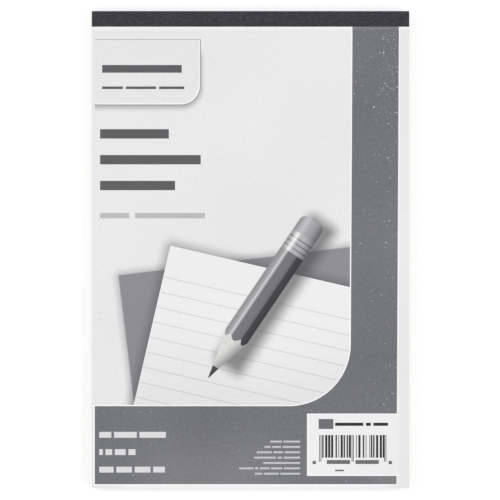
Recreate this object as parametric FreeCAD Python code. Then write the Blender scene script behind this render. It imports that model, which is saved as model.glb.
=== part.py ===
import FreeCAD, Part

import math
import os

from FreeCAD import Vector

# A top-bound ruled writing tablet: one hundred loose sheets on a chipboard backing, padded with glue
# along the head, with a printed card cover and one strip of binding tape wrapped over the head.
# It lies on its backing. +X is the reader's right, +Y points to the bound head and +Z out of the cover.
# The origin is the middle of the footprint, on the surface that the tablet lies on.

# The trimmed sheet and the stack
SHEET_WIDTH = 152.4
SHEET_LENGTH = 228.6
SHEET_COUNT = 100
SHEET_THICKNESS = 0.076

# The guillotine leaves each sheet this much, times 0 to JOG_STEPS, short of the trimmed outline
JOG = 0.02
JOG_STEPS = 4

# What is bound with the sheets
BOARD_THICKNESS = 0.6
COVER_THICKNESS = 0.2
GLUE_THICKNESS = 0.3
GLUE_CORNER_RADIUS = 0.25

# The tape, whose width is measured flat, before it is wrapped
TAPE_THICKNESS = 0.15
TAPE_WIDTH = 25.4
TAPE_FRONT_FLAP = 7.5

# Heights of the layers, from the table up
BOARD_Z = TAPE_THICKNESS
SHEETS_Z = BOARD_Z + BOARD_THICKNESS
COVER_Z = SHEETS_Z + SHEET_COUNT * SHEET_THICKNESS
COVER_TOP_Z = COVER_Z + COVER_THICKNESS

# Places along the sheet, from the trimmed foot to the outside of the tape
LENGTH = SHEET_LENGTH + GLUE_THICKNESS + TAPE_THICKNESS
FOOT_Y = -LENGTH / 2
HEAD_Y = FOOT_Y + SHEET_LENGTH
GLUE_Y = HEAD_Y + GLUE_THICKNESS
FOLD_Y = LENGTH / 2 - TAPE_FRONT_FLAP


def slab(foot_y, head_y, bottom_z, thickness):
    """A full-width sheet or board between two places along the tablet."""
    corner = Vector(-SHEET_WIDTH / 2, foot_y, bottom_z)
    return Part.makeBox(SHEET_WIDTH, head_y - foot_y, thickness, corner)


def tape_back_edge_y():
    """Where the tape ends on the back: what its width leaves after the front flap, two bends and the spine."""
    bend = math.pi / 2 * (GLUE_CORNER_RADIUS + TAPE_THICKNESS / 2)
    bend_start_y = GLUE_Y - GLUE_CORNER_RADIUS
    front = bend_start_y - FOLD_Y
    spine = COVER_TOP_Z - BOARD_Z - 2 * GLUE_CORNER_RADIUS
    back = TAPE_WIDTH - front - spine - 2 * bend
    return bend_start_y - back


def backing_board():
    """Grey chipboard. Its back is split at the tape's edge, so that the bare part is a face of its own."""
    tape_y = tape_back_edge_y()
    bare = slab(FOOT_Y, tape_y, BOARD_Z, BOARD_THICKNESS)
    taped = slab(tape_y, HEAD_Y, BOARD_Z, BOARD_THICKNESS)
    return bare.fuse(taped)


def sheet_inset(sheet, side):
    """How far this sheet's edge stops short of the trimmed outline on one of its three loose sides."""
    return JOG * ((sheet * sheet * 3 + sheet * side + side) % (JOG_STEPS + 1))


def ruled_sheets():
    """The stack of sheets as one solid, flush at the glued head and slightly stepped at its loose edges."""
    sheets = []
    for sheet in range(SHEET_COUNT):
        left, right, foot = (sheet_inset(sheet, side) for side in (1, 2, 3))
        corner = Vector(left - SHEET_WIDTH / 2, FOOT_Y + foot, SHEETS_Z + sheet * SHEET_THICKNESS)
        sheets.append(
            Part.makeBox(SHEET_WIDTH - left - right, SHEET_LENGTH - foot, SHEET_THICKNESS, corner)
        )
    return sheets[0].multiFuse(sheets[1:]).removeSplitter()


def wrap_line():
    """The line that the tape is stuck to: over the cover, round the glued head and under the board."""
    radius = GLUE_CORNER_RADIUS
    bend_y = GLUE_Y - radius
    drop = radius * (1 - math.sqrt(0.5))
    top_bend = Part.Arc(
        Vector(0, bend_y, COVER_TOP_Z),
        Vector(0, GLUE_Y - drop, COVER_TOP_Z - drop),
        Vector(0, GLUE_Y, COVER_TOP_Z - radius),
    )
    bottom_bend = Part.Arc(
        Vector(0, GLUE_Y, BOARD_Z + radius),
        Vector(0, GLUE_Y - drop, BOARD_Z + drop),
        Vector(0, bend_y, BOARD_Z),
    )
    front = Part.LineSegment(Vector(0, FOLD_Y, COVER_TOP_Z), top_bend.StartPoint)
    spine = Part.LineSegment(top_bend.EndPoint, bottom_bend.StartPoint)
    back = Part.LineSegment(bottom_bend.EndPoint, Vector(0, tape_back_edge_y(), BOARD_Z))
    return front, top_bend, spine, bottom_bend, back


def across_the_sheet(profile):
    """A profile at x = 0 swept over the tablet's full width."""
    profile.translate(Vector(-SHEET_WIDTH / 2, 0, 0))
    return profile.extrude(Vector(SHEET_WIDTH, 0, 0))


def binding_tape():
    """One strip of dark tape, folded round the head with a bend at each corner of the glue."""
    stuck_side = Part.Wire([part.toShape() for part in wrap_line()])
    return across_the_sheet(stuck_side.makeOffset2D(-TAPE_THICKNESS, fill=True, openResult=True))


def padding_glue():
    """The flexible glue that holds the head edges, rounded where the tape bends over it."""
    top_bend, spine, bottom_bend = wrap_line()[1:4]
    board_corner = Vector(0, HEAD_Y, BOARD_Z)
    cover_corner = Vector(0, HEAD_Y, COVER_TOP_Z)
    outline = [
        Part.LineSegment(cover_corner, top_bend.StartPoint),
        top_bend,
        spine,
        bottom_bend,
        Part.LineSegment(bottom_bend.EndPoint, board_corner),
        Part.LineSegment(board_corner, cover_corner),
    ]
    return across_the_sheet(Part.Face(Part.Wire([part.toShape() for part in outline])))


def front_cover():
    """The leaf of the card cover that opens, from the fold beside the tape to the foot."""
    return slab(FOOT_Y, FOLD_Y, COVER_Z, COVER_THICKNESS)


def cover_bound_edge():
    """The margin of the same card that stays under the tape."""
    return slab(FOLD_Y, HEAD_Y, COVER_Z, COVER_THICKNESS)


NODES = {
    "backing_board": backing_board,
    "ruled_sheets": ruled_sheets,
    "padding_glue": padding_glue,
    "cover_bound_edge": cover_bound_edge,
    "front_cover": front_cover,
    "binding_tape": binding_tape,
}

os.makedirs("parts", exist_ok=True)
for node, make in NODES.items():
    make().exportStep(os.path.join("parts", node + ".step"))
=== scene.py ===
import math
import random

import bpy
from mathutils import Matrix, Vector, noise
from mathutils.geometry import delaunay_2d_cdt


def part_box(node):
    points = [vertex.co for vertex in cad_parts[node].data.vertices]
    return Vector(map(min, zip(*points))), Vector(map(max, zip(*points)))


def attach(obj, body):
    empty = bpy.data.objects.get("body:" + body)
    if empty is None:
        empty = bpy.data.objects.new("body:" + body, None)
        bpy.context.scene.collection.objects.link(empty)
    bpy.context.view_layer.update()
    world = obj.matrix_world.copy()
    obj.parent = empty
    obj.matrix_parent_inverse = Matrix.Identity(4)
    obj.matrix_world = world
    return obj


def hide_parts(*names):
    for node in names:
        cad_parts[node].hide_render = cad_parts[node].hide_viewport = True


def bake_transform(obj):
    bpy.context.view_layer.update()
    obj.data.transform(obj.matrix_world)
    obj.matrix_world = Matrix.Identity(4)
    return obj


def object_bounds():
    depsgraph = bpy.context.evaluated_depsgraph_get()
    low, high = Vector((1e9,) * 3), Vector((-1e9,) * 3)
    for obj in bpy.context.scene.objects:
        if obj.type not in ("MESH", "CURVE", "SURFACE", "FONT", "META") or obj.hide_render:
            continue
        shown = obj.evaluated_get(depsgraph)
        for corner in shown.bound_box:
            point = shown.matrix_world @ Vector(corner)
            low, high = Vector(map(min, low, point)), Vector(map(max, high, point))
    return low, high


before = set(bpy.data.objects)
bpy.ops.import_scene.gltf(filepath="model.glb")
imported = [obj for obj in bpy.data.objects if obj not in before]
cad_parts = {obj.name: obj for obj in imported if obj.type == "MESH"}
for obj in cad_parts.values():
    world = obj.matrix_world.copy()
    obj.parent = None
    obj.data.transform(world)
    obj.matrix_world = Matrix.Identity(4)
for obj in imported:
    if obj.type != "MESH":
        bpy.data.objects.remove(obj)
cad_low, cad_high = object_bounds()

# A ruled writing tablet, from the board that it lies on up to the tape round its head.
# Sizes are in millimetres and are multiplied by MM where they meet the frame, which is in metres.
MM = 0.001


# Backing board
# Grey chipboard, 0.6 mm thick, pressed from waste paper and trimmed in one stroke with the sheets.
# Glue and tape hold it along the head. It is dull, and its pulp shows as clouds, fibres and dark specks.

BOARD_GREY = "9C978C"
BOARD_PALE = "B3AEA3"
BOARD_FIBRE = "C9C5BB"
BOARD_SPECK = "4F4B45"
PULP_CLOUD = 7.0
# A real fibre is about 0.03 mm wide. It is drawn a few times as wide, because it would not show otherwise.
FIBRE_SPACING = 2.4
FIBRE_REACH = 0.012
SPECK_SPACING = 4.5
SPECK_REACH = 0.07


def linear(srgb):
    """The linear colour that an sRGB hex colour stands for, with full alpha."""
    shares = [int(srgb[i : i + 2], 16) / 255 for i in (0, 2, 4)]
    return [s / 12.92 if s <= 0.04045 else ((s + 0.055) / 1.055) ** 2.4 for s in shares] + [1.0]


def add(tree, kind, inputs=None, **settings):
    """One more node. Each input is given a plain value, or the output of the node that feeds it."""
    node = tree.nodes.new(kind)
    for name, value in settings.items():
        setattr(node, name, value)
    for name, value in (inputs or {}).items():
        if isinstance(value, bpy.types.NodeSocket):
            tree.links.new(value, node.inputs[name])
        else:
            node.inputs[name].default_value = value
    return node


def surface(name, colour, roughness, specular=0.5):
    """A new material with its shader set to one colour, roughness and strength of reflection."""
    material = bpy.data.materials.new(name)
    material.use_nodes = True
    shader = material.node_tree.nodes["Principled BSDF"]
    shader.inputs["Base Color"].default_value = linear(colour)
    shader.inputs["Roughness"].default_value = roughness
    shader.inputs["Specular IOR Level"].default_value = specular
    return material, material.node_tree, shader


def chipboard():
    """Pressed grey pulp: pale clouds, fibres where a warped noise crosses its middle, and dark specks."""
    material, tree, shader = surface("grey_chipboard_pressed", BOARD_GREY, roughness=0.9, specular=0.2)
    place = add(tree, "ShaderNodeTexCoord").outputs["Object"]
    cloud = add(
        tree, "ShaderNodeTexNoise", {"Vector": place, "Scale": 1 / (PULP_CLOUD * MM), "Detail": 5}
    )
    clouded = add(
        tree,
        "ShaderNodeMixRGB",
        {"Fac": cloud.outputs["Fac"], "Color1": linear(BOARD_GREY), "Color2": linear(BOARD_PALE)},
    )
    warp = add(
        tree,
        "ShaderNodeTexNoise",
        {"Vector": place, "Scale": 1 / (FIBRE_SPACING * MM), "Detail": 2, "Distortion": 2.5},
    )
    on_fibre = add(
        tree, "ShaderNodeMath", {0: warp.outputs["Fac"], 1: 0.5, 2: FIBRE_REACH}, operation="COMPARE"
    )
    fibred = add(
        tree,
        "ShaderNodeMixRGB",
        {"Fac": on_fibre.outputs[0], "Color1": clouded.outputs[0], "Color2": linear(BOARD_FIBRE)},
    )
    speck = add(tree, "ShaderNodeTexVoronoi", {"Vector": place, "Scale": 1 / (SPECK_SPACING * MM)})
    is_speck = add(
        tree, "ShaderNodeMath", {0: speck.outputs["Distance"], 1: SPECK_REACH}, operation="LESS_THAN"
    )
    specked = add(
        tree,
        "ShaderNodeMixRGB",
        {"Fac": is_speck.outputs[0], "Color1": fibred.outputs[0], "Color2": linear(BOARD_SPECK)},
    )
    tree.links.new(specked.outputs[0], shader.inputs["Base Color"])
    tooth = add(
        tree,
        "ShaderNodeBump",
        {"Height": warp.outputs["Fac"], "Strength": 0.25, "Distance": 0.05 * MM},
    )
    tree.links.new(tooth.outputs[0], shader.inputs["Normal"])
    return material


def dress(node, material):
    """Gives a CAD node its finish."""
    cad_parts[node].data.materials.clear()
    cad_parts[node].data.materials.append(material)


dress("backing_board", chipboard())


# Sheet stack
# Ninety-nine of the hundred sheets: light uncoated writing paper, cut as one block and glued at the head.
# Only the cut edges show. They lie tight at the head, and open in hairline gaps towards the loose sides.

SHEET_COUNT = 100
PAPER_WHITE = "F1F1EF"
PAPER_CLOUDED = "EBEBE8"
PAPER_EDGE_SHADE = "D4D3CD"
PAPER_CLOUD = 3.5
# The knife and the handling leave a sheet this much short of its neighbours, and a few by more
SHEET_JOG = 0.08
SHORT_SHEET_JOG = 0.22
SHORT_SHEET_SHARE = 0.08
# How often the block opens a little, how wide, how far in from the edge, and how long each opening is
GAP_COUNT = 11
GAP_WIDTH = 0.14
GAP_DEPTH = 12.0
GAP_LENGTH = 40.0
# A gap is open where its noise, from about -1 to 1, stays above zero with this added
GAP_OPENNESS = 0.3
# This many sheets at each end of the block lie tight together
TIGHT_SHEETS = 4
HELD_BY_GLUE = 60.0
STATION_SPACING = 15.0
HANDLING_SEED = 4

stack_low, stack_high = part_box("ruled_sheets")
sheet_thickness = (stack_high.z - stack_low.z) / SHEET_COUNT
handling = random.Random(HANDLING_SEED)


def stations(low, high, loose_low, loose_high):
    """Places along one side for the mesh, with one at the depth that a gap reaches at each loose end."""
    start = low + GAP_DEPTH * MM * loose_low
    end = high - GAP_DEPTH * MM * loose_high
    count = round((end - start) / (STATION_SPACING * MM))
    places = [start + (end - start) * i / count for i in range(count + 1)]
    return [low] * loose_low + places + [high] * loose_high


def smooth(share):
    """A share from 0 to 1 with an even start and end."""
    share = min(1, max(0, share))
    return share * share * (3 - 2 * share)


def looseness(x, y):
    """1 at a loose edge away from the head, and 0 inside the block and along the glue."""
    depth = min(x - stack_low.x, stack_high.x - x, y - stack_low.y)
    return smooth(1 - depth / (GAP_DEPTH * MM)) * smooth((stack_high.y - y) / (HELD_BY_GLUE * MM))


gap_range = range(TIGHT_SHEETS, SHEET_COUNT - TIGHT_SHEETS + 1)
gap_levels = sorted(handling.sample(gap_range, GAP_COUNT))


def gaps_at(x, y):
    """How wide each gap stands open at this place."""
    wide = GAP_WIDTH * MM * looseness(x, y)
    wave = Vector((x, y, 0)) / (GAP_LENGTH * MM)
    waves = [noise.noise(wave + Vector((0, 0, level))) for level in gap_levels]
    return [wide * max(0, GAP_OPENNESS + height) for height in waves]


def sheet_heights(x, y):
    """The underside of every sheet at this place, and the thickness that the gaps leave for each."""
    gaps = gaps_at(x, y)
    thickness = sheet_thickness - sum(gaps) / SHEET_COUNT
    heights = []
    for sheet in range(SHEET_COUNT):
        opened = sum(gap for gap, level in zip(gaps, gap_levels) if level <= sheet)
        heights.append(stack_low.z + sheet * thickness + opened)
    return heights, thickness


def jog():
    """How far short one loose side of a sheet ends."""
    if handling.random() < SHORT_SHEET_SHARE:
        return SHORT_SHEET_JOG * MM
    return SHEET_JOG * MM * handling.random()


def plate(columns, rows, bottoms, tops):
    """Points and faces of one sheet: a grid of places with its underside, its top and its cut edges."""
    wide, long = len(columns), len(rows)
    places = [(x, y) for y in rows for x in columns]
    points = [(x, y, z) for heights in (bottoms, tops) for (x, y), z in zip(places, heights)]
    over = wide * long
    faces = []
    for row in range(long - 1):
        for column in range(wide - 1):
            corner = row * wide + column
            cell = (corner, corner + 1, corner + wide + 1, corner + wide)
            faces.append(tuple(reversed(cell)))
            faces.append(tuple(point + over for point in cell))
    front = list(range(wide))
    right = [row * wide + wide - 1 for row in range(long)]
    back = [(long - 1) * wide + column for column in reversed(range(wide))]
    left = [row * wide for row in reversed(range(long))]
    for side in (front, right, back, left):
        faces += [(a, b, b + over, a + over) for a, b in zip(side, side[1:])]
    return points, faces


def sheet_stack():
    """All sheets but the first, and a tint for the faces of each, because no two cut edges are alike."""
    columns = stations(stack_low.x, stack_high.x, 1, 1)
    rows = stations(stack_low.y, stack_high.y, 1, 0)
    places = [sheet_heights(x, y) for y in rows for x in columns]
    points, faces, tints = [], [], []
    for sheet in range(SHEET_COUNT - 1):
        left, right, foot = jog(), jog(), jog()
        sheet_columns = [columns[0] + left, *columns[1:-1], columns[-1] - right]
        sheet_rows = [rows[0] + foot, *rows[1:]]
        bottoms = [heights[sheet] for heights, thickness in places]
        tops = [heights[sheet] + thickness for heights, thickness in places]
        more_points, more_faces = plate(sheet_columns, sheet_rows, bottoms, tops)
        faces += [tuple(point + len(points) for point in face) for face in more_faces]
        points += more_points
        tints += [handling.random()] * len(more_faces)
    mesh = bpy.data.meshes.new("sheet_stack")
    mesh.from_pydata(points, [], faces)
    mesh.attributes.new("tint", "FLOAT", "FACE").data.foreach_set("value", tints)
    return bpy.data.objects.new("sheet_stack", mesh)


def writing_paper(name):
    """Uncoated paper: matt, with the faint clouds that show when light falls across it."""
    material, tree, shader = surface(name, PAPER_WHITE, roughness=0.85, specular=0.25)
    place = add(tree, "ShaderNodeTexCoord").outputs["Object"]
    cloud = add(
        tree, "ShaderNodeTexNoise", {"Vector": place, "Scale": 1 / (PAPER_CLOUD * MM), "Detail": 4}
    )
    clouded = add(
        tree,
        "ShaderNodeMixRGB",
        {"Fac": cloud.outputs["Fac"], "Color1": linear(PAPER_CLOUDED), "Color2": linear(PAPER_WHITE)},
    )
    tree.links.new(clouded.outputs[0], shader.inputs["Base Color"])
    tooth = add(
        tree, "ShaderNodeBump", {"Height": cloud.outputs["Fac"], "Strength": 0.1, "Distance": 0.02 * MM}
    )
    tree.links.new(tooth.outputs[0], shader.inputs["Normal"])
    return material, tree, shader, clouded


def cut_paper():
    """Writing paper whose edges take a shade of their own, sheet by sheet."""
    material, tree, shader, clouded = writing_paper("writing_paper_guillotined")
    tint = add(tree, "ShaderNodeAttribute", attribute_name="tint")
    shaded = add(
        tree,
        "ShaderNodeMixRGB",
        {"Fac": tint.outputs["Fac"], "Color1": clouded.outputs[0], "Color2": linear(PAPER_EDGE_SHADE)},
    )
    tree.links.new(shaded.outputs[0], shader.inputs["Base Color"])
    return material


def place_in_scene(piece, *materials):
    """Links a new piece and gives it its finishes."""
    bpy.context.scene.collection.objects.link(piece)
    for material in materials:
        piece.data.materials.append(material)
    return piece


stack = place_in_scene(sheet_stack(), cut_paper())
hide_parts("ruled_sheets")
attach(stack, "pad")


# First sheet
# The sheet under the cover, which shows its ruling when the cover is open. It is the same paper.
# The lines are printed in pale blue before the sheets are cut, so they run off both sides.

RULING_BLUE = "A3B7CC"
RULING_PALE = "B4C4D4"
RULING_PITCH = 8.7
FIRST_LINE = 27.0
# A printed rule is 0.2 mm wide. It is drawn a little wider, because it would not show otherwise.
RULE_WIDTH = 0.32


def rule_edges():
    """Both edges of every printed line, from the foot up."""
    sheet_length = (stack_high.y - stack_low.y) / MM
    last = math.floor(sheet_length / RULING_PITCH) - math.ceil(FIRST_LINE / RULING_PITCH)
    middles = [stack_high.y - (FIRST_LINE + line * RULING_PITCH) * MM for line in range(last, -1, -1)]
    return [middle + side * RULE_WIDTH / 2 * MM for middle in middles for side in (-1, 1)]


def first_sheet():
    """A flat sheet whose upper face is divided along the rules, so that they are sharp."""
    columns = [stack_low.x, stack_high.x]
    edges = rule_edges()
    rows = [stack_low.y + SHEET_JOG * MM, *edges, stack_high.y]
    tops = [stack_high.z] * len(columns) * len(rows)
    bottoms = [top - sheet_thickness for top in tops]
    points, faces = plate(columns, rows, bottoms, tops)
    mesh = bpy.data.meshes.new("first_sheet")
    mesh.from_pydata(points, [], faces)
    for row in range(1, len(edges), 2):
        mesh.polygons[row * 2].material_index = 1
        mesh.polygons[row * 2 + 1].material_index = 1
    return bpy.data.objects.new("first_sheet", mesh)


def ruling_ink():
    """Pale blue ink that has sunk into the paper, so it is as matt as the sheet."""
    material, tree, shader, clouded = writing_paper("ruling_ink_on_writing_paper")
    clouded.inputs["Color1"].default_value = linear(RULING_BLUE)
    clouded.inputs["Color2"].default_value = linear(RULING_PALE)
    return material


first = place_in_scene(first_sheet(), writing_paper("writing_paper_uncoated")[0], ruling_ink())
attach(first, "pad")


# Padding glue
# A flexible white glue, brushed over the head of the clamped stack in two coats. It peels like rubber.
# The tape covers it, apart from its two ends, where it is cut flush with the sheets.

GLUE_CREAM = "DAD7CB"
GLUE_PALE = "E6E4DC"
BRUSH_MARK = 0.8


def padding_compound():
    """Dried glue: soft gloss, a trace of light through it, and the marks of the brush."""
    material, tree, shader = surface("padding_glue_brushed", GLUE_CREAM, roughness=0.45)
    shader.inputs["Subsurface Weight"].default_value = 0.15
    shader.inputs["Subsurface Scale"].default_value = 0.3 * MM
    place = add(tree, "ShaderNodeTexCoord").outputs["Object"]
    marks = add(
        tree, "ShaderNodeTexNoise", {"Vector": place, "Scale": 1 / (BRUSH_MARK * MM), "Detail": 3}
    )
    toned = add(
        tree,
        "ShaderNodeMixRGB",
        {"Fac": marks.outputs["Fac"], "Color1": linear(GLUE_CREAM), "Color2": linear(GLUE_PALE)},
    )
    tree.links.new(toned.outputs[0], shader.inputs["Base Color"])
    ripple = add(
        tree, "ShaderNodeBump", {"Height": marks.outputs["Fac"], "Strength": 0.4, "Distance": 0.03 * MM}
    )
    tree.links.new(ripple.outputs[0], shader.inputs["Normal"])
    return material


dress("padding_glue", padding_compound())


# Card cover
# One leaf of white card, coated and printed in greys on the outside and bare on the inside. It is glued
# into the head under the tape, and folds up along the tape's edge. Its dark ink is scuffed by handling.

# Places on the printed face are in millimetres, across from its left edge and down from the outer head
cover_low, cover_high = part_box("front_cover")
bound_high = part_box("cover_bound_edge")[1]
page_left = cover_low.x
page_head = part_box("binding_tape")[1].y
PAGE_WIDTH = (cover_high.x - cover_low.x) / MM
PAGE_TOP = (page_head - bound_high.y) / MM
PAGE_FOLD = (page_head - cover_high.y) / MM
PAGE_FOOT = (page_head - cover_low.y) / MM

print_order = []


def lay(ink, outline):
    """Prints one field of an ink over what is there. An outline is turned to run anticlockwise."""
    ring = list(zip(outline, outline[1:] + outline[:1]))
    area = sum(a[0] * b[1] - b[0] * a[1] for a, b in ring)
    print_order.append((ink, outline if area > 0 else outline[::-1]))


def rectangle(left, top, right, bottom):
    """The corners of an upright rectangle."""
    return [(left, top), (right, top), (right, bottom), (left, bottom)]


def arc(centre, radius, start, end, steps=24):
    """Points on an arc, from one angle to another in degrees, with 90 pointing down the page."""
    angles = [math.radians(start + (end - start) * i / steps) for i in range(steps + 1)]
    return [(centre[0] + radius * math.cos(a), centre[1] + radius * math.sin(a)) for a in angles]


def turned(outline, origin, degrees):
    """An outline turned clockwise about its own zero, and moved so that the zero lies at origin."""
    c, s = math.cos(math.radians(degrees)), math.sin(math.radians(degrees))
    return [(origin[0] + x * c - y * s, origin[1] + x * s + y * c) for x, y in outline]


lay("unprinted", rectangle(0, PAGE_TOP, PAGE_WIDTH, PAGE_FOOT))

# The printed picture: a loose ruled sheet on a grey board, at angles, with a pencil across them
BACK_BOARD = {"origin": (13, 127), "angle": -7, "size": (118, 88)}
FRONT_SHEET = {"origin": (38, 113), "angle": 13, "size": (95, 88)}
PICTURE_RULE_PITCH = 7.4
PICTURE_RULE_WIDTH = 0.35
PICTURE_FIRST_RULE = 2
SHEET_RIM = 0.3


def lay_on_sheet(ink, sheet, left, top, right, bottom):
    """Prints a rectangle that is given from the corner of a turned sheet."""
    lay(ink, turned(rectangle(left, top, right, bottom), sheet["origin"], sheet["angle"]))


lay_on_sheet("picture_rim", BACK_BOARD, -SHEET_RIM, -SHEET_RIM, *BACK_BOARD["size"])
lay_on_sheet("picture_board", BACK_BOARD, 0, 0, *BACK_BOARD["size"])
lay_on_sheet("picture_sheet_edge", FRONT_SHEET, -SHEET_RIM, -SHEET_RIM, *FRONT_SHEET["size"])
lay_on_sheet("picture_sheet", FRONT_SHEET, 0, 0, *FRONT_SHEET["size"])
front_width, front_length = FRONT_SHEET["size"]
for line in range(PICTURE_FIRST_RULE, int(front_length / PICTURE_RULE_PITCH)):
    rule_y = line * PICTURE_RULE_PITCH
    lay_on_sheet("picture_rule", FRONT_SHEET, 0, rule_y, front_width, rule_y + PICTURE_RULE_WIDTH)

# The pencil, from its point to its rubber, in its own length and width
PENCIL_POINT = (56, 176)
PENCIL_ANGLE = -56
PENCIL_WIDTH = 12.5
LEAD_LENGTH = 6.2
LEAD_WIDTH = 3.2
LEAD_TIP = 0.4
CONE_LENGTH = 24.0
BARREL_END = 72.0
FERRULE_END = 82.0
RUBBER_END = 91.0
RUBBER_CORNER = 3.4
# Three sides of the barrel show, up to these shares of its width, and the paint of each ends in a scallop
FACET_SPLITS = (0, 0.26, 0.72, 1)
SCALLOP = 2.4
SCALLOP_STEPS = 10
# The grooves round the ferrule, as shares of its length
GROOVE_PLACES = (0.2, 0.45, 0.7)
GROOVE_WIDTH = 0.45


def across(share, width=PENCIL_WIDTH):
    """A place across the pencil, from its lit side at 0 to its dark side at 1."""
    return (share - 0.5) * width


def on_pencil(outline):
    """Places on the page of an outline that is given along and across the pencil."""
    return turned(outline, PENCIL_POINT, PENCIL_ANGLE)


def facet(low, high):
    """One painted side of the barrel, whose near end is a scallop."""
    steps = range(SCALLOP_STEPS + 1)
    shares = [low + (high - low) * step / SCALLOP_STEPS for step in steps]
    ends = [CONE_LENGTH - SCALLOP * math.sin(math.pi * step / SCALLOP_STEPS) for step in steps]
    scallop = [(end, across(share)) for end, share in zip(ends, shares)]
    return [*scallop, (BARREL_END, across(high)), (BARREL_END, across(low))]


def lay_pencil():
    """The cone with its lead, the painted barrel, the ferrule with its grooves, and the rubber."""
    cone_lit, cone_dark = [(LEAD_LENGTH, across(share, LEAD_WIDTH)) for share in (0, 1)]
    cone = [cone_lit, (CONE_LENGTH, across(0)), (CONE_LENGTH, across(1)), cone_dark]
    lay("picture_wood", on_pencil(cone))
    lay("picture_lead", on_pencil([(0, -LEAD_TIP / 2), cone_lit, cone_dark, (0, LEAD_TIP / 2)]))
    facet_inks = ("picture_facet_lit", "picture_facet_middle", "picture_facet_dark")
    for ink, low, high in zip(facet_inks, FACET_SPLITS, FACET_SPLITS[1:]):
        lay(ink, on_pencil(facet(low, high)))
    lay("picture_ferrule", on_pencil(rectangle(BARREL_END, across(0), FERRULE_END, across(1))))
    for place in GROOVE_PLACES:
        start = BARREL_END + (FERRULE_END - BARREL_END) * place
        groove = rectangle(start, across(0), start + GROOVE_WIDTH, across(1))
        lay("picture_groove", on_pencil(groove))
    corner_x = RUBBER_END - RUBBER_CORNER
    rubber = [
        (FERRULE_END, across(0)),
        *arc((corner_x, across(0) + RUBBER_CORNER), RUBBER_CORNER, -90, 0, steps=8),
        *arc((corner_x, across(1) - RUBBER_CORNER), RUBBER_CORNER, 0, 90, steps=8),
        (FERRULE_END, across(1)),
    ]
    lay("picture_rubber", on_pencil(rubber))


lay_pencil()

# The dark grey field: a column down the right side and a band across the foot, joined by a round corner.
# Its upright edges lean a little to the left on the way down.
COLUMN_LEFT = 125.15
COLUMN_RIGHT = 147.45
COLUMN_LEAN = 0.0053
BAND_LEFT = 1.45
BAND_TOP = 189.65
BAND_BOTTOM = 227.1
FIELD_CORNER = 29.8
# The column is printed on a little under the tape
COLUMN_UNDER_TAPE = 1.0
# The width of the white line that is left round the fields
KEYLINE = 0.6


def lay_field(ink, grow):
    """The column and the band, made larger all round by grow."""
    top = PAGE_FOLD - COLUMN_UNDER_TAPE
    lean = COLUMN_LEAN * (BAND_BOTTOM - PAGE_FOLD)
    corner_x = COLUMN_LEFT - FIELD_CORNER - COLUMN_LEAN * (BAND_TOP - FIELD_CORNER - PAGE_FOLD)
    lay(ink, [
        (COLUMN_LEFT - grow, top),
        (COLUMN_RIGHT + grow, top),
        (COLUMN_RIGHT + grow - lean, BAND_BOTTOM + grow),
        (BAND_LEFT - grow, BAND_BOTTOM + grow),
        (BAND_LEFT - grow, BAND_TOP - grow),
        *arc((corner_x, BAND_TOP - FIELD_CORNER), FIELD_CORNER - grow, 90, 0),
    ])


lay_field("keyline", KEYLINE)
lay_field("field_grey", 0)

# The tab at the top left, which is printed as if it stood off the cover
TAB = {"left": 1.45, "top": 13.7, "right": 51.95, "bottom": 44.85, "corner": 9.1}
TAB_LINE = 0.36
TAB_LINE_AT_TOP = 0.21
TAB_SHADE_REACH = 4.2


def lay_tab(ink, over, beside):
    """The tab with its one round corner, made larger by over at the top and by beside elsewhere."""
    left, top = TAB["left"], TAB["top"] - over
    right, bottom = TAB["right"] + beside, TAB["bottom"] + beside
    corner = TAB["corner"] + beside
    lay(ink, [
        (left, bottom),
        (left, top),
        (right, top),
        *arc((right - corner, bottom - corner), corner, 0, 90, steps=16),
    ])


lay("unprinted_by_tab", rectangle(
    TAB["left"], TAB["top"], TAB["right"] + TAB_SHADE_REACH, TAB["bottom"] + TAB_SHADE_REACH
))
lay_tab("tab_line", TAB_LINE_AT_TOP, TAB_LINE)
lay_tab("keyline", 0, 0)
lay_tab("tab", 0, -KEYLINE)

# Plain bars stand where a tablet of this kind has its lines of print


def lay_words(ink, lengths, left, top, height, space=0):
    """A row of bars, one for each word."""
    for length in lengths:
        lay(ink, rectangle(left, top, left + length, top + height))
        left += length + space


lay_words("title_grey", (38.2,), left=5.0, top=25.9, height=3.7)
lay_words("title_grey", (10.0, 14.5, 12.1), left=5.0, top=36.2, height=1.25, space=1.4)
TITLE_LINES = {56.7: 33.0, 69.1: 48.3, 81.5: 36.0}
for line_top, line_length in TITLE_LINES.items():
    lay_words("title_grey", (line_length,), left=4.0, top=line_top, height=4.5)
lay_words("pale_grey", (14.0, 33.5), left=4.0, top=96.9, height=2.6, space=2.8)

SIZE_LINES = {202.0: (5.8, 10.9, 12.7), 210.3: (1.7, 3.2, 5.2, 3.4), 218.7: (6.9, 7.5, 7.6, 5.6)}
for line_top, line_words in SIZE_LINES.items():
    lay_words("knocked_out", line_words, left=3.6, top=line_top, height=2.8, space=1.3)

SMALL_PRINT_TOP = 206.2
SMALL_PRINT_RIGHT = 100.0
SMALL_PRINT_PITCH = 2.57
SMALL_PRINT_HEIGHT = 0.9
SMALL_PRINT_SPACE = 0.75
SMALL_PRINT_WORDS = (
    (5.6, 8.0),
    (3.0, 4.2, 8.4),
    (7.4, 4.6, 7.4),
    (10.4, 2.2, 7.9),
    (17.6,),
    (6.8, 1.6, 4.6, 5.4, 7.8),
    (3.6, 7.2, 9.4),
)
for line, small_words in enumerate(SMALL_PRINT_WORDS):
    line_top = SMALL_PRINT_TOP + line * SMALL_PRINT_PITCH
    line_left = SMALL_PRINT_RIGHT - sum(small_words) - SMALL_PRINT_SPACE * (len(small_words) - 1)
    lay_words("small_print", small_words, line_left, line_top, SMALL_PRINT_HEIGHT, SMALL_PRINT_SPACE)

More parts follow.
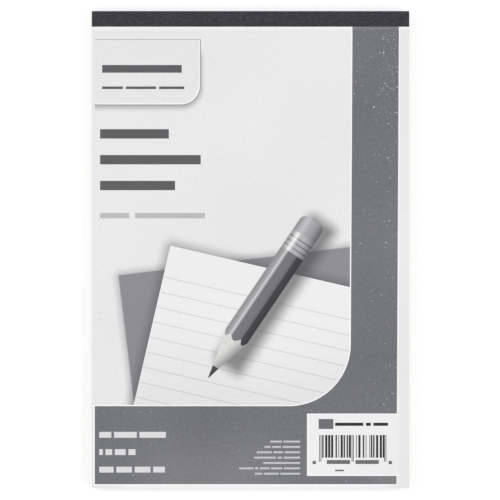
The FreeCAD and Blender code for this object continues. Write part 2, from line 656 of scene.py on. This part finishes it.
# The white panel at the foot of the column, which is open to the right. Its bar pattern is made up. It
# has five groups of eight modules a side, where a shop's code has six of seven.
PANEL = {"left": 103.9, "top": 193.8, "right": 147.6, "bottom": 222.55}
BARS_LEFT = 109.2
BARS_TOP = 203.5
BARS_BOTTOM = 214.4
GUARD_BOTTOM = 216.3
BAR_MODULE = 0.354
GROUPS_A_SIDE = 5
GROUP_MODULES = 8
# A group is a space, a bar, a space and a bar
GROUP_STRIPES = 4
SIDE_MODULES = GROUPS_A_SIDE * GROUP_MODULES
# A guard is two bars of one module with a space between them. The middle one has a space on each side too.
GUARD_MODULES = 3
LEFT_SIDE = GUARD_MODULES
MIDDLE_GUARD = LEFT_SIDE + SIDE_MODULES + 1
RIGHT_SIDE = MIDDLE_GUARD + GUARD_MODULES + 1
RIGHT_GUARD = RIGHT_SIDE + SIDE_MODULES
PATTERN_SEED = 21


def lay_bar(module, width, bottom):
    """One bar, placed and measured in modules from the pattern's left."""
    left = BARS_LEFT + module * BAR_MODULE
    lay("black", rectangle(left, BARS_TOP, left + width * BAR_MODULE, bottom))


def lay_bar_pattern():
    """Two sides between longer guard bars. Each group is two bars whose widths are drawn by chance."""
    draw = random.Random(PATTERN_SEED)
    for guard in (0, MIDDLE_GUARD, RIGHT_GUARD):
        lay_bar(guard, 1, GUARD_BOTTOM)
        lay_bar(guard + 2, 1, GUARD_BOTTOM)
    for side_start in (LEFT_SIDE, RIGHT_SIDE):
        for group in range(GROUPS_A_SIDE):
            widths = [1] * GROUP_STRIPES
            for extra in range(GROUP_MODULES - GROUP_STRIPES):
                widths[draw.randrange(GROUP_STRIPES)] += 1
            start = side_start + group * GROUP_MODULES + widths[0]
            lay_bar(start, widths[1], BARS_BOTTOM)
            lay_bar(start + widths[1] + widths[2], widths[3], BARS_BOTTOM)


lay("keyline", rectangle(
    PANEL["left"] - KEYLINE, PANEL["top"] - KEYLINE, PANEL["right"], PANEL["bottom"] + KEYLINE
))
lay("panel", rectangle(PANEL["left"], PANEL["top"], PANEL["right"], PANEL["bottom"]))
lay_bar_pattern()
lay_words("panel_grey", (7.1,), left=108.9, top=195.8, height=4.8)
lay_words("black", (13.6, 2.4, 7.0), left=116.8, top=197.6, height=1.5, space=1.2)
lay_words("panel_grey", (1.6,), left=106.0, top=215.9, height=1.6)
lay_words("panel_grey", (11.2, 11.2), left=112.8, top=215.5, height=1.9, space=2.6)
lay_words("panel_grey", (1.6,), left=142.5, top=215.9, height=1.6)
lay_words("panel_grey", (4.2,), left=116.8, top=220.1, height=0.8)

# The mesh of the leaf, with an edge along every printed outline
COVER_THICKNESS = (cover_high.z - cover_low.z) / MM
# The fold takes this much card, in this many rows. It starts at the tape's edge.
FOLD_LENGTH = 1.2
FOLD_ROWS = 14
CARD_GRID = 8.0
# Two points that are nearer than this are one
SAME_POINT = 0.0005
# The setting of the triangulation that keeps what lies inside an outline
INSIDE_OUTLINES = 1
# Faces that meet at more than this many degrees have a sharp edge
SHARP_ANGLE = 60
# Handling has left the foot of the cover standing this far off the sheets. Most of it is even, and the
# rest is a shallow wave.
COVER_LIFT = 0.14
EVEN_LIFT = 0.6
LIFT_WAVE = 60.0


def cover_lift(x, y):
    """How far the cover stands off the sheets: nothing at the fold, and a little at the foot."""
    share = smooth((y - PAGE_FOLD - FOLD_LENGTH) / (PAGE_FOOT - PAGE_FOLD - FOLD_LENGTH))
    wave = noise.noise(Vector((x, y, 0)) / LIFT_WAVE)
    return COVER_LIFT * share * (EVEN_LIFT + (1 - EVEN_LIFT) * wave)


def divided_page():
    """The page cut along every printed edge: flat points, triangles, and the ink of each triangle."""
    points, outlines, fold_lines = [], [], []
    for ink, outline in print_order:
        outlines.append(list(range(len(points), len(points) + len(outline))))
        points += outline
    for row in range(FOLD_ROWS + 1):
        y = PAGE_FOLD + FOLD_LENGTH * row / FOLD_ROWS
        fold_lines.append((len(points), len(points) + 1))
        points += [(0, y), (PAGE_WIDTH, y)]
    across_count = round(PAGE_WIDTH / CARD_GRID)
    down_count = round(PAGE_FOOT / CARD_GRID)
    for column in range(1, across_count):
        for row in range(2, down_count):
            points.append((PAGE_WIDTH * column / across_count, PAGE_FOOT * row / down_count))
    places = [Vector(point) for point in points]
    flat, _, triangles, _, _, fields_over = delaunay_2d_cdt(
        places, fold_lines, outlines, INSIDE_OUTLINES, SAME_POINT
    )
    inks = [print_order[max(fields)][0] for fields in fields_over]
    return flat, triangles, inks


def cover_piece(ink_slots):
    """The card as a closed leaf: the printed face, the same triangles turned over, and the cut edge."""
    flat, triangles, inks = divided_page()
    under = len(flat)
    points = []
    for height in (COVER_THICKNESS, 0):
        for x, y in flat:
            z = cover_low.z + (height + cover_lift(x, y)) * MM
            points.append((page_left + x * MM, page_head - y * MM, z))
    faces = [tuple(reversed(triangle)) for triangle in triangles]
    slots = [ink_slots[ink] for ink in inks]
    faces += [tuple(point + under for point in triangle) for triangle in triangles]
    slots += [ink_slots["inside"]] * len(triangles)
    used = {(a, b) for t in triangles for a, b in zip(t, (*t[1:], t[0]))}
    rim = [(a, b) for a, b in used if (b, a) not in used]
    faces += [(a, b, b + under, a + under) for a, b in sorted(rim)]
    slots += [ink_slots["cut_edge"]] * len(rim)
    mesh = bpy.data.meshes.new("card_cover")
    mesh.from_pydata(points, [], faces)
    mesh.polygons.foreach_set("material_index", slots)
    page = mesh.uv_layers.new(name="page")
    for loop in mesh.loops:
        x, y = flat[loop.vertex_index % under]
        page.data[loop.index].uv = (x * MM, y * MM)
    mesh.polygons.foreach_set("use_smooth", [True] * len(faces))
    mesh.set_sharp_from_angle(angle=math.radians(SHARP_ANGLE))
    return bpy.data.objects.new("card_cover", mesh)


# The inks, with the bare card between them, as greys on the coated side
INK_GREYS = {
    "unprinted": "EAEAEA",
    "unprinted_by_tab": "EAEAEA",
    "keyline": "FAFAFA",
    "field_grey": "6F7074",
    "tab_line": "8A8A8E",
    "tab": "E8E8E8",
    "title_grey": "58585B",
    "pale_grey": "BCBCBF",
    "knocked_out": "DEDEDF",
    "small_print": "C6C6C9",
    "panel": "EFEFEF",
    "panel_grey": "6A6A6E",
    "black": "1C1C1E",
    "picture_rim": "A4A4A7",
    "picture_board": "8C8C90",
    "picture_sheet_edge": "FAFAFA",
    "picture_sheet": "F0F0F0",
    "picture_rule": "D0D0D3",
    "picture_wood": "DCDCDA",
    "picture_lead": "3C3C3F",
    "picture_facet_lit": "A2A2A5",
    "picture_facet_middle": "737377",
    "picture_facet_dark": "434346",
    "picture_ferrule": "B4B4B7",
    "picture_groove": "66666A",
    "picture_rubber": "A4A4A7",
}
SHADE_GREY = "4A4A4E"
SHADE_DEEP = "1C1C1E"
# White for the pale patches: the painted highlights at the crease and the foot, the gleams in the printed
# picture, and the paler ink
PALE_PATCH_WHITE = "FFFFFF"
# How uneven an ink lies: the change in its brightness for a change of 1 in the noise behind it
UNEVEN = 0.11
UNEVEN_FIELD = 0.45
INK_CLOUD = 1.6
INK_DRIFT = 70.0
# A scuff is a short scratch, up to 0.4 mm wide and 1.2 mm long. The spacing is that of the places where
# one may be. A place has one where a number drawn from 0 to 1 is below the amount, and it is deeper the
# further below. The amount rises towards the right edge, within SCUFF_EDGE of it, and falls to a share
# of itself over SCUFF_HEAD below the tape.
SCUFF_SPACING = 0.5
SCUFF_REACH = 0.38
SCUFF_STRETCH = 3.2
SCUFF_ANGLE = 24
SCUFF_PALE = "F4F4F5"
# Most scuffs are faint: the depth of one is a share from 0 to 1, from two draws, to this power
SCUFF_FAINTNESS = 3.2
SCUFF_EDGE = 12.0
SCUFF_AMOUNT = 0.62
SCUFF_AMOUNT_AT_EDGE = 3.6
SCUFF_HEAD = 65.0
SCUFF_LEFT_BELOW = 0.18
# A patch starts to fade inside its box, this share of its softness from the edge
PATCH_INSET = 0.3


def soft_patch(grey, strength, soft, size, origin, degrees=0, corner=1.0):
    """A rounded box of a second grey over an ink. It is strongest inside, and fades over soft outside."""
    width, length = size
    return {
        "grey": grey,
        "strength": strength,
        "soft": soft,
        "half": (width / 2, length / 2),
        "middle": turned([(width / 2, length / 2)], origin, degrees)[0],
        "angle": degrees,
        "corner": corner,
    }


# The tab's printed shadow falls down the page, from a box that runs off its left side
TAB_SHADE_DROP = 0.9
tab_shade = soft_patch(
    SHADE_GREY,
    strength=0.5,
    soft=3.0,
    size=(TAB["right"] * 2, TAB["bottom"] - TAB["top"]),
    origin=(-TAB["right"], TAB["top"] + TAB_SHADE_DROP),
    corner=TAB["corner"],
)

# The shadows in the printed picture, and its light, which falls off towards the foot
board_shade = soft_patch(
    SHADE_GREY,
    strength=0.45,
    soft=4.5,
    size=BACK_BOARD["size"],
    origin=BACK_BOARD["origin"],
    degrees=BACK_BOARD["angle"],
)
sheet_shade = soft_patch(
    SHADE_GREY,
    strength=0.6,
    soft=6.5,
    size=FRONT_SHEET["size"],
    origin=FRONT_SHEET["origin"],
    degrees=FRONT_SHEET["angle"],
)
PENCIL_SHADE_START = 11.1
PENCIL_SHADE_INSET = 1.0
PENCIL_SHADE_DROP = 4.4
pencil_shade = soft_patch(
    SHADE_GREY,
    strength=0.8,
    soft=7.0,
    size=(RUBBER_END - PENCIL_SHADE_START, PENCIL_WIDTH - 2 * PENCIL_SHADE_INSET),
    origin=on_pencil([(PENCIL_SHADE_START, across(0) + PENCIL_SHADE_INSET + PENCIL_SHADE_DROP)])[0],
    degrees=PENCIL_ANGLE,
)
FALLOFF_BOX = {"size": (160, 30), "origin": (-5, 215)}
falloff = soft_patch(SHADE_GREY, strength=0.22, soft=80, **FALLOFF_BOX)


def line_along_pencil(grey, strength, soft, share):
    """A soft line from end to end of the barrel, ferrule and rubber, at a share of the pencil's width."""
    start = on_pencil([(CONE_LENGTH, across(share))])[0]
    length = RUBBER_END - CONE_LENGTH
    return soft_patch(grey, strength, soft, (length, 0), start, PENCIL_ANGLE, corner=0)


# The pencil has a gleam along its first edge, and its sides turn away from the light
paint_gleam = line_along_pencil(PALE_PATCH_WHITE, strength=0.6, soft=1.3, share=0.27)
metal_gleam = line_along_pencil(PALE_PATCH_WHITE, strength=0.95, soft=2.2, share=0.27)
rubber_gleam = line_along_pencil(PALE_PATCH_WHITE, strength=0.3, soft=3.2, share=0.3)
lit_side = line_along_pencil(SHADE_DEEP, strength=0.35, soft=2.4, share=0)
dark_side = line_along_pencil(SHADE_DEEP, strength=0.85, soft=6.0, share=1)
cone_slope = math.degrees(math.atan2((PENCIL_WIDTH - LEAD_WIDTH) / 2, CONE_LENGTH - LEAD_LENGTH))
cone_shade = soft_patch(
    SHADE_GREY,
    strength=0.7,
    soft=6.0,
    size=(CONE_LENGTH, 0),
    origin=on_pencil([(LEAD_LENGTH, across(1, LEAD_WIDTH))])[0],
    degrees=PENCIL_ANGLE + cone_slope,
    corner=0,
)

# The card is paler along its crease under the tape: a painted highlight, where it bends into the crease
# and catches the light. Its foot is paler, partly rubbed and partly a painted highlight where the lifted
# foot catches the light. The field's ink is paler above the foot, and at the corner.
CREASE_LINE = {"size": (PAGE_WIDTH, 0), "origin": (0, PAGE_FOLD), "corner": 0}
FOOT_LINE = {"size": (122, 0), "origin": (17, BAND_BOTTOM), "corner": 0}
ABOVE_FOOT_BOX = {"size": (37, 10), "origin": (37, BAND_BOTTOM - 8)}
CORNER_BOX = {"size": (10, 6), "origin": (138, BAND_BOTTOM - 4)}
crease_highlight_on_card = soft_patch(PALE_PATCH_WHITE, strength=0.9, soft=2.3, **CREASE_LINE)
crease_highlight_on_ink = soft_patch(PALE_PATCH_WHITE, strength=0.08, soft=2.3, **CREASE_LINE)
foot_on_card = soft_patch(PALE_PATCH_WHITE, strength=0.65, soft=6.0, **FOOT_LINE)
paler_above_foot_on_ink = soft_patch(PALE_PATCH_WHITE, strength=0.06, soft=26.0, **ABOVE_FOOT_BOX)
corner_on_ink = soft_patch(PALE_PATCH_WHITE, strength=0.06, soft=18.0, **CORNER_BOX)

INK_PATCHES = {
    "unprinted": (board_shade, sheet_shade, pencil_shade, crease_highlight_on_card, foot_on_card),
    "unprinted_by_tab": (tab_shade,),
    "keyline": (crease_highlight_on_card, foot_on_card),
    "field_grey": (paler_above_foot_on_ink, corner_on_ink, crease_highlight_on_ink),
    "picture_rim": (falloff, sheet_shade, pencil_shade),
    "picture_board": (falloff, sheet_shade, pencil_shade),
    "picture_sheet_edge": (falloff, pencil_shade),
    "picture_sheet": (falloff, pencil_shade),
    "picture_rule": (falloff, pencil_shade),
    "picture_wood": (cone_shade,),
    "picture_lead": (cone_shade,),
    "picture_facet_lit": (lit_side, paint_gleam),
    "picture_facet_middle": (paint_gleam, dark_side),
    "picture_facet_dark": (dark_side,),
    "picture_ferrule": (lit_side, metal_gleam, dark_side),
    "picture_groove": (lit_side, metal_gleam, dark_side),
    "picture_rubber": (lit_side, rubber_gleam, dark_side),
}
SCUFFED_INKS = ("field_grey",)


def patched(tree, page, colour, patch):
    """The colour with one soft patch over it."""
    corner, soft = patch["corner"], patch["soft"]
    local = add(
        tree,
        "ShaderNodeMapping",
        {
            "Vector": page,
            "Location": (patch["middle"][0] * MM, patch["middle"][1] * MM, 0),
            "Rotation": (0, 0, math.radians(patch["angle"])),
        },
        vector_type="TEXTURE",
    )
    mirrored = add(tree, "ShaderNodeVectorMath", {0: local.outputs[0]}, operation="ABSOLUTE")
    straight = [(half - corner) * MM for half in patch["half"]]
    past = add(
        tree, "ShaderNodeVectorMath", {0: mirrored.outputs[0], 1: (*straight, 0)}, operation="SUBTRACT"
    )
    outside = add(tree, "ShaderNodeVectorMath", {0: past.outputs[0], 1: (0, 0, 0)}, operation="MAXIMUM")
    distance = add(tree, "ShaderNodeVectorMath", {0: outside.outputs[0]}, operation="LENGTH")
    cover_share = add(
        tree,
        "ShaderNodeMapRange",
        {
            "Value": distance.outputs["Value"],
            "From Min": (corner - soft * PATCH_INSET) * MM,
            "From Max": (corner + soft) * MM,
            "To Min": patch["strength"],
            "To Max": 0.0,
        },
        interpolation_type="SMOOTHSTEP",
    )
    mixed = add(
        tree,
        "ShaderNodeMixRGB",
        {"Fac": cover_share.outputs[0], "Color1": colour, "Color2": linear(patch["grey"])},
    )
    return mixed.outputs[0]


def scuffed(tree, page, colour):
    """The colour with pale scuffs: a few all over, and many at the right edge, where a thumb opens it."""
    stretched = add(
        tree,
        "ShaderNodeMapping",
        {"Vector": page, "Rotation": (0, 0, math.radians(SCUFF_ANGLE)), "Scale": (SCUFF_STRETCH, 1, 1)},
        vector_type="TEXTURE",
    )
    places = add(
        tree,
        "ShaderNodeTexVoronoi",
        {"Vector": stretched.outputs[0], "Scale": 1 / (SCUFF_SPACING * MM)},
        voronoi_dimensions="2D",
    )
    on_page = add(tree, "ShaderNodeSeparateXYZ", {0: page}).outputs
    amount_across = add(
        tree,
        "ShaderNodeMapRange",
        {
            "Value": on_page["X"],
            "From Min": (COLUMN_RIGHT - SCUFF_EDGE) * MM,
            "From Max": COLUMN_RIGHT * MM,
            "To Min": SCUFF_AMOUNT,
            "To Max": SCUFF_AMOUNT_AT_EDGE,
        },
    )
    left_below = add(
        tree,
        "ShaderNodeMapRange",
        {
            "Value": on_page["Y"],
            "From Min": PAGE_FOLD * MM,
            "From Max": (PAGE_FOLD + SCUFF_HEAD) * MM,
            "To Min": 1.0,
            "To Max": SCUFF_LEFT_BELOW,
        },
    )
    amount = add(
        tree,
        "ShaderNodeMath",
        {0: amount_across.outputs[0], 1: left_below.outputs[0]},
        operation="MULTIPLY",
    )
    drawn = add(tree, "ShaderNodeSeparateColor", {0: places.outputs["Color"]}).outputs
    used = add(tree, "ShaderNodeMath", {0: drawn["Red"], 1: amount.outputs[0]}, operation="DIVIDE")
    below = add(
        tree, "ShaderNodeMath", {0: 1.0, 1: used.outputs[0]}, operation="SUBTRACT", use_clamp=True
    )
    share = add(tree, "ShaderNodeMath", {0: below.outputs[0], 1: drawn["Blue"]}, operation="MULTIPLY")
    depth = add(tree, "ShaderNodeMath", {0: share.outputs[0], 1: SCUFF_FAINTNESS}, operation="POWER")
    reach = add(tree, "ShaderNodeMath", {0: drawn["Green"], 1: SCUFF_REACH}, operation="MULTIPLY")
    inside = add(
        tree, "ShaderNodeMath", {0: places.outputs["Distance"], 1: reach.outputs[0]}, operation="LESS_THAN"
    )
    strength = add(
        tree, "ShaderNodeMath", {0: inside.outputs[0], 1: depth.outputs[0]}, operation="MULTIPLY"
    )
    mixed = add(
        tree,
        "ShaderNodeMixRGB",
        {"Fac": strength.outputs[0], "Color1": colour, "Color2": linear(SCUFF_PALE)},
    )
    return mixed.outputs[0]


def printed_ink(ink):
    """One grey on coated card: a satin film, a little uneven where the ink lies on it."""
    material, tree, shader = surface("coated_card_" + ink, INK_GREYS[ink], roughness=0.5, specular=0.3)
    page = add(tree, "ShaderNodeUVMap", uv_map="page").outputs[0]
    cloud = add(
        tree, "ShaderNodeTexNoise", {"Vector": page, "Scale": 1 / (INK_CLOUD * MM), "Detail": 4}
    )
    drift = add(
        tree, "ShaderNodeTexNoise", {"Vector": page, "Scale": 1 / (INK_DRIFT * MM), "Detail": 1}
    )
    density = add(
        tree, "ShaderNodeMath", {0: cloud.outputs["Fac"], 1: drift.outputs["Fac"]}, operation="ADD"
    )
    change = UNEVEN_FIELD if ink in SCUFFED_INKS else UNEVEN
    uneven = add(
        tree,
        "ShaderNodeMapRange",
        {
            "Value": density.outputs[0],
            "From Min": 0.5,
            "From Max": 1.5,
            "To Min": 1 - change / 2,
            "To Max": 1 + change / 2,
        },
    )
    toned = add(
        tree,
        "ShaderNodeVectorMath",
        {0: linear(INK_GREYS[ink])[:3], "Scale": uneven.outputs[0]},
        operation="SCALE",
    )
    colour = toned.outputs[0]
    for patch in INK_PATCHES.get(ink, ()):
        colour = patched(tree, page, colour, patch)
    if ink in SCUFFED_INKS:
        colour = scuffed(tree, page, colour)
    tree.links.new(colour, shader.inputs["Base Color"])
    film = add(
        tree, "ShaderNodeBump", {"Height": cloud.outputs["Fac"], "Strength": 0.15, "Distance": 0.01 * MM}
    )
    tree.links.new(film.outputs[0], shader.inputs["Normal"])
    return material


CARD_BARE = "DEDDD9"
CARD_CUT = "E2E1DD"
CARD_FIBRE_PALE = "EFEEEB"
# The fibres of card are as fine as those of the board, and are drawn as coarse to show
CARD_FIBRE_SPACING = 1.2


def bare_card(name, colour):
    """The uncoated side and the cut edge of the card: matt, with short fibres."""
    material, tree, shader = surface(name, colour, roughness=0.8, specular=0.2)
    page = add(tree, "ShaderNodeUVMap", uv_map="page").outputs[0]
    fibres = add(
        tree,
        "ShaderNodeTexNoise",
        {"Vector": page, "Scale": 1 / (CARD_FIBRE_SPACING * MM), "Detail": 5, "Distortion": 1.5},
    )
    toned = add(
        tree,
        "ShaderNodeMixRGB",
        {"Fac": fibres.outputs["Fac"], "Color1": linear(colour), "Color2": linear(CARD_FIBRE_PALE)},
    )
    tree.links.new(toned.outputs[0], shader.inputs["Base Color"])
    tooth = add(
        tree, "ShaderNodeBump", {"Height": fibres.outputs["Fac"], "Strength": 0.2, "Distance": 0.03 * MM}
    )
    tree.links.new(tooth.outputs[0], shader.inputs["Normal"])
    return material


cover_finishes = {ink: printed_ink(ink) for ink in INK_GREYS}
cover_finishes["inside"] = bare_card("card_uncoated_inside", CARD_BARE)
cover_finishes["cut_edge"] = bare_card("card_guillotined_edge", CARD_CUT)
cover_slots = {finish: slot for slot, finish in enumerate(cover_finishes)}
cover = place_in_scene(cover_piece(cover_slots), *cover_finishes.values())
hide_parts("front_cover", "cover_bound_edge")
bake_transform(cover)


# Binding tape
# One strip of charcoal paper tape with a fine crepe grain, folded round the head and pressed down on the
# cover and the board while its adhesive was wet. It is cut flush at both sides.

TAPE_CHARCOAL = "29292D"
TAPE_WORN = "424247"
# Real crepe is about 0.3 mm from ridge to ridge. It is drawn coarser, because it would not show otherwise.
CREPE_RIDGE = 0.9
CREPE_STRETCH = 2.0


def crepe_tape():
    """Dark paper tape: matt, with short ridges along the strip that are worn a little paler."""
    material, tree, shader = surface(
        "charcoal_paper_tape_creped", TAPE_CHARCOAL, roughness=0.75, specular=0.25
    )
    place = add(tree, "ShaderNodeTexCoord").outputs["Object"]
    along = add(tree, "ShaderNodeMapping", {"Vector": place, "Scale": (1 / CREPE_STRETCH, 1, 1)})
    grain = add(
        tree,
        "ShaderNodeTexNoise",
        {"Vector": along.outputs[0], "Scale": 1 / (CREPE_RIDGE * MM), "Detail": 4, "Roughness": 0.6},
    )
    worn = add(
        tree,
        "ShaderNodeMapRange",
        {"Value": grain.outputs["Fac"], "From Min": 0.35, "From Max": 0.7},
    )
    toned = add(
        tree,
        "ShaderNodeMixRGB",
        {"Fac": worn.outputs[0], "Color1": linear(TAPE_CHARCOAL), "Color2": linear(TAPE_WORN)},
    )
    tree.links.new(toned.outputs[0], shader.inputs["Base Color"])
    ridges = add(
        tree, "ShaderNodeBump", {"Height": grain.outputs["Fac"], "Strength": 0.5, "Distance": 0.06 * MM}
    )
    tree.links.new(ridges.outputs[0], shader.inputs["Normal"])
    return material


dress("binding_tape", crepe_tape())


# Studio
# A white sweep that keeps the tablet's shadow, soft light from all round, and two soft boxes set as on a
# copy stand, so that neither is mirrored in the cover. The camera looks straight down on the cover.

FLOOR_HALF = 4.0
FLOOR_DROP = 0.05
FLOOR_GREY = "E8E8E8"
FLOOR_GLOW = 0.35
ROOM_LIGHT = 0.565
BOX_SIZE = 0.9
BOX_PLACES = ((-1.05, 0.35, 1.15), (1.05, -0.1, 1.15))
BOX_POWER = 7.75


def seen_directly(tree):
    """1 for what the camera sees itself, in a mirror or through glass, and 0 for light on the way."""
    path = add(tree, "ShaderNodeLightPath").outputs
    seen = path["Is Camera Ray"]
    for ray in ("Is Glossy Ray", "Is Transmission Ray"):
        seen = add(tree, "ShaderNodeMath", {0: seen, 1: path[ray]}, operation="MAXIMUM").outputs[0]
    return seen


def sweep():
    """The floor. It glows a little for the camera, so that it is white where no shadow falls."""
    mesh = bpy.data.meshes.new("floor")
    half, z = FLOOR_HALF, cad_low.z - FLOOR_DROP * MM
    corners = [(-half, -half, z), (half, -half, z), (half, half, z), (-half, half, z)]
    mesh.from_pydata(corners, [], [(0, 1, 2, 3)])
    material, tree, shader = surface("matt_white_sweep", FLOOR_GREY, roughness=0.9, specular=0.1)
    shader.inputs["Emission Color"].default_value = (1, 1, 1, 1)
    glow = add(tree, "ShaderNodeMath", {0: seen_directly(tree), 1: FLOOR_GLOW}, operation="MULTIPLY")
    tree.links.new(glow.outputs[0], shader.inputs["Emission Strength"])
    return place_in_scene(bpy.data.objects.new("floor", mesh), material)


def room():
    """Even light from all round, and white where it is seen."""
    world = bpy.data.worlds.new("room")
    world.use_nodes = True
    tree = world.node_tree
    level = add(
        tree,
        "ShaderNodeMapRange",
        {"Value": seen_directly(tree), "To Min": ROOM_LIGHT, "To Max": 1.0},
    )
    tree.links.new(level.outputs[0], tree.nodes["Background"].inputs["Strength"])
    tree.nodes["Background"].inputs["Color"].default_value = (1, 1, 1, 1)
    bpy.context.scene.world = world


def soft_box(place):
    """One square lamp that faces the tablet."""
    lamp = bpy.data.lights.new("soft_box", "AREA")
    lamp.size = BOX_SIZE
    lamp.energy = BOX_POWER
    box = bpy.data.objects.new("soft_box", lamp)
    box.location = place
    box.rotation_euler = (-Vector(place)).to_track_quat("-Z", "Y").to_euler()
    bpy.context.scene.collection.objects.link(box)


sweep()
room()
for box_place in BOX_PLACES:
    soft_box(box_place)

# The photograph is as wide as this on the cover, and its middle is this far from the tablet's
LENS = 200.0
SENSOR = 36.0
VIEW_WIDTH = 240.0
VIEW_SHIFT_X = -0.24
VIEW_SHIFT_Y = -0.17

lens = bpy.data.cameras.new("copy_stand")
lens.lens = LENS
lens.sensor_width = SENSOR
camera = bpy.data.objects.new("copy_stand", lens)
camera_height = VIEW_WIDTH * LENS / SENSOR
camera.location = (VIEW_SHIFT_X * MM, VIEW_SHIFT_Y * MM, cover_high.z + camera_height * MM)
bpy.context.scene.collection.objects.link(camera)
bpy.context.scene.camera = camera
bpy.context.scene.view_settings.view_transform = "Standard"
